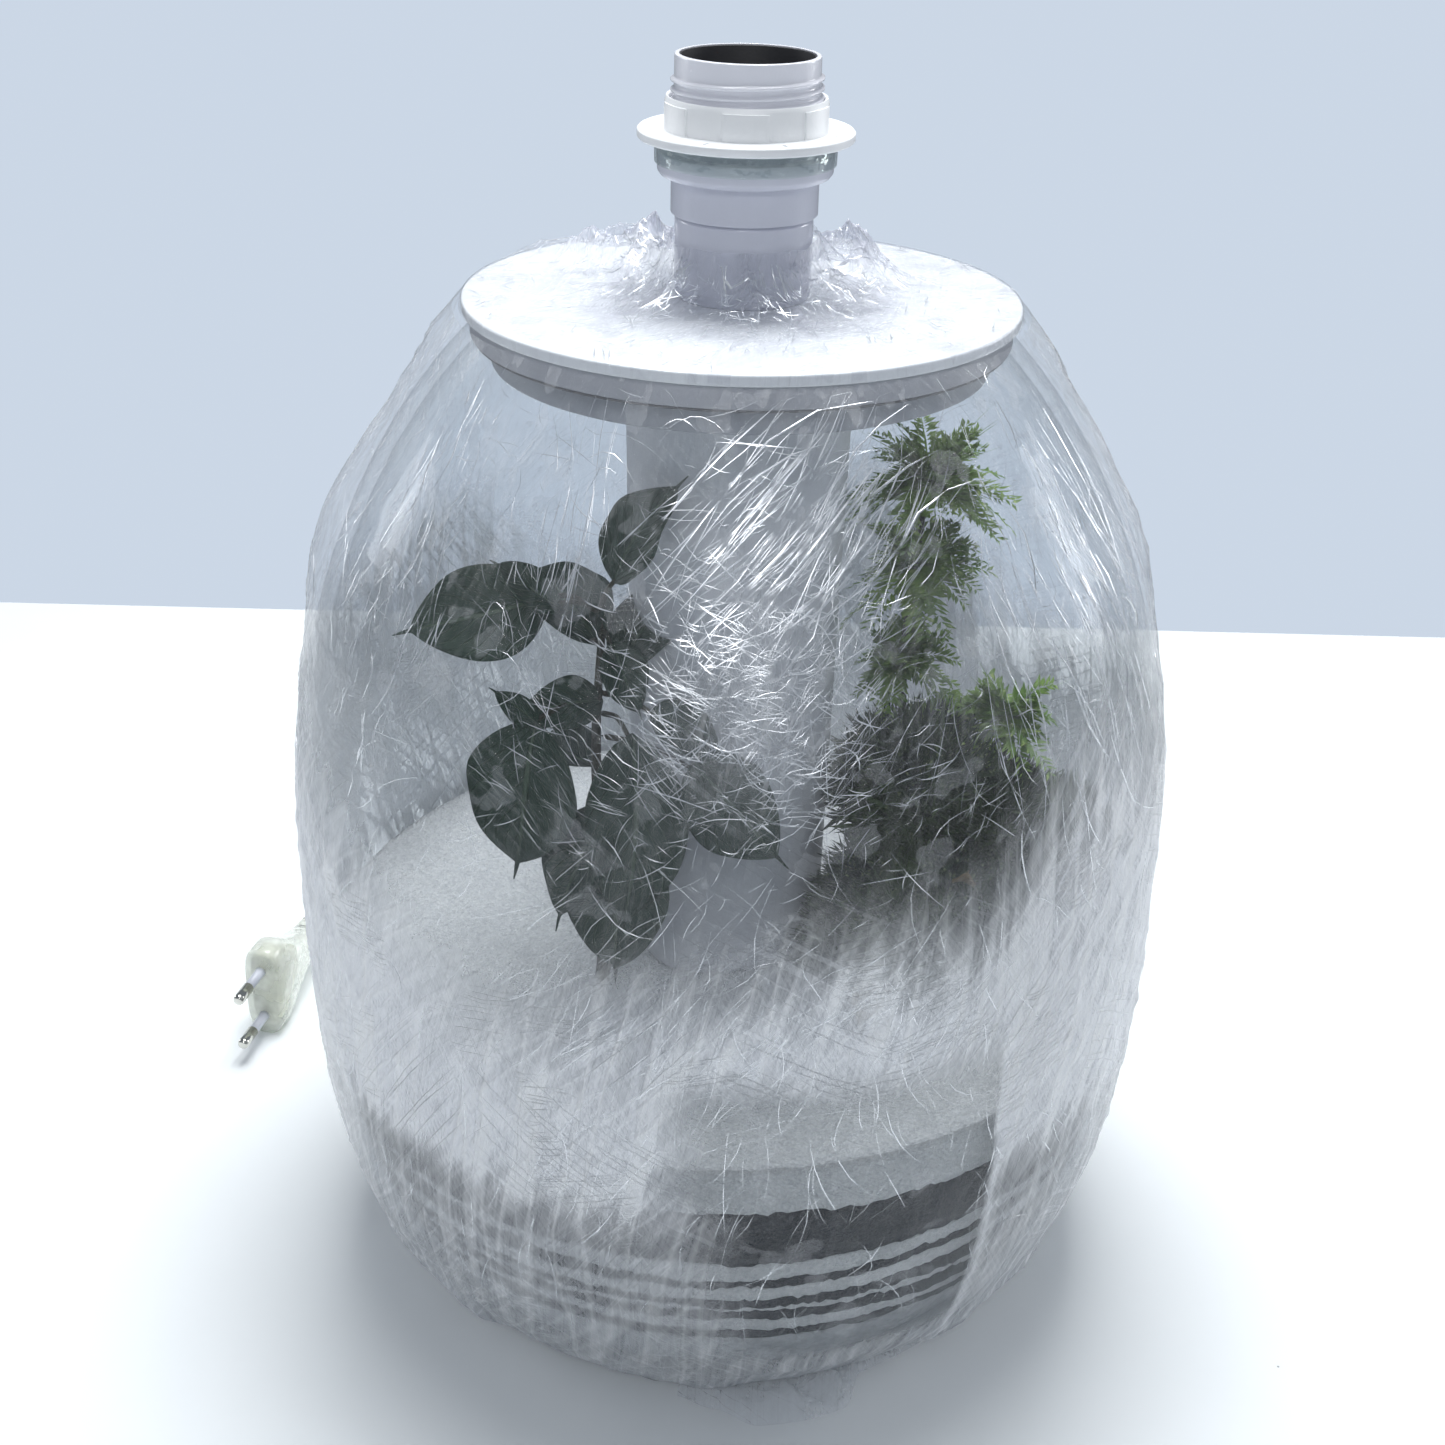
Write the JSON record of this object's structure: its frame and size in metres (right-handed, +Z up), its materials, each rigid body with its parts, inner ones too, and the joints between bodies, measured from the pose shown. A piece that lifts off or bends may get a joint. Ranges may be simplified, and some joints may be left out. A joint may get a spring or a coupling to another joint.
{
  "type": "terrarium table lamp",
  "caption": "Glass barrel terrarium lamp with planted striped sand, centre column, white lid, E27 lampholder with shade ring, mains lead with flat plug, in stretch film.",
  "frame": {"origin": "middle of the glass foot, on the table", "axes": "+Z up along the lamp's axis, -Y towards the front, +X to the right seen from the front; the mains lead leaves towards +Y"},
  "size_m": [0.2978, 0.3299, 0.355],
  "materials": {
    "clear_glass": "clear blown glass, slightly wavy",
    "column_white": "opaque white tube, seen grey through the film",
    "white_sand": "fine white quartz sand",
    "black_sand": "fine black sand with a few pale grains",
    "gravel": "pale fine gravel",
    "dark_leaf": "dark blue-green artificial leaf with veins",
    "fern_green": "light green artificial fern",
    "moss_green": "dark tufted moss",
    "stretch_film": "clear wrinkled stretch film, whitish where layered",
    "lid_white": "white lacquered disc",
    "seal_rubber": "thin grey seal",
    "holder_white": "white moulded thermoplastic",
    "holder_black": "black heat-resistant insert",
    "contact_brass": "plain brass",
    "plated_steel": "zinc-plated steel",
    "ring_white": "white moulded ring, satin",
    "clear_washer": "clear plastic washer",
    "cord_pvc": "milky clear PVC sheath",
    "plug_clear": "translucent moulded PVC",
    "pin_metal": "nickel-plated pin",
    "pin_sleeve": "grey-white insulating sleeve"
  },
  "bodies": {
    "base": {"vessel": "clear_glass", "column": "column_white", "sand_top_layer": "white_sand", "gravel_bed": "gravel", "sand_black_1": "black_sand", "sand_white_1": "white_sand", "sand_black_2": "black_sand", "sand_white_2": "white_sand", "sand_black_3": "black_sand", "sand_white_3": "white_sand", "sand_black_4": "black_sand", "sand_white_4": "white_sand", "sand_black_5": "black_sand", "leafy_plant": "dark_leaf", "fern": "fern_green", "moss_bush": "moss_green", "film_side": "stretch_film", "inner_lead": "cord_pvc", "strain_relief": "cord_pvc", "cord_lead": "cord_pvc", "cord_coil": "cord_pvc", "cord_tail": "cord_pvc", "plug_body": "plug_clear", "plug_pins": "pin_metal", "pin_sleeves": "pin_sleeve"},
    "lid": {"lid_disc": "lid_white", "lid_rim": "lid_white", "lid_seal": "seal_rubber", "film_top": "stretch_film", "holder_cap": "holder_white", "holder_shell": "holder_white", "holder_insert": "holder_black", "screw_shell": "contact_brass", "centre_contact": "contact_brass", "side_contact": "contact_brass", "terminal_screws": "plated_steel", "cord_clamp": "holder_black", "nipple": "contact_brass", "nipple_nut": "plated_steel", "nipple_washer": "plated_steel"},
    "washer": {"ring_washer": "clear_washer"},
    "ring": {"shade_ring": "ring_white"}
  },
  "joints": [
    {"name": "lid_lift", "type": "slide", "parent": "base", "child": "lid", "axis": [0, 0, 1], "range_m": [0, 0.1]},
    {"name": "ring_climb", "type": "slide", "parent": "lid", "child": "washer", "axis": [0, 0, 1], "range_m": [-0.0023, 0.0078]},
    {"name": "ring_turn", "type": "hinge", "parent": "washer", "child": "ring", "pos_m": [0, 0, 0.338], "axis": [0, 0, 1], "range_deg": [-300, 1080]}
  ],
  "couplings": [
    {"joint": "ring_climb", "follows": "ring_turn", "m_per_rad": 0.00039789}
  ]
}
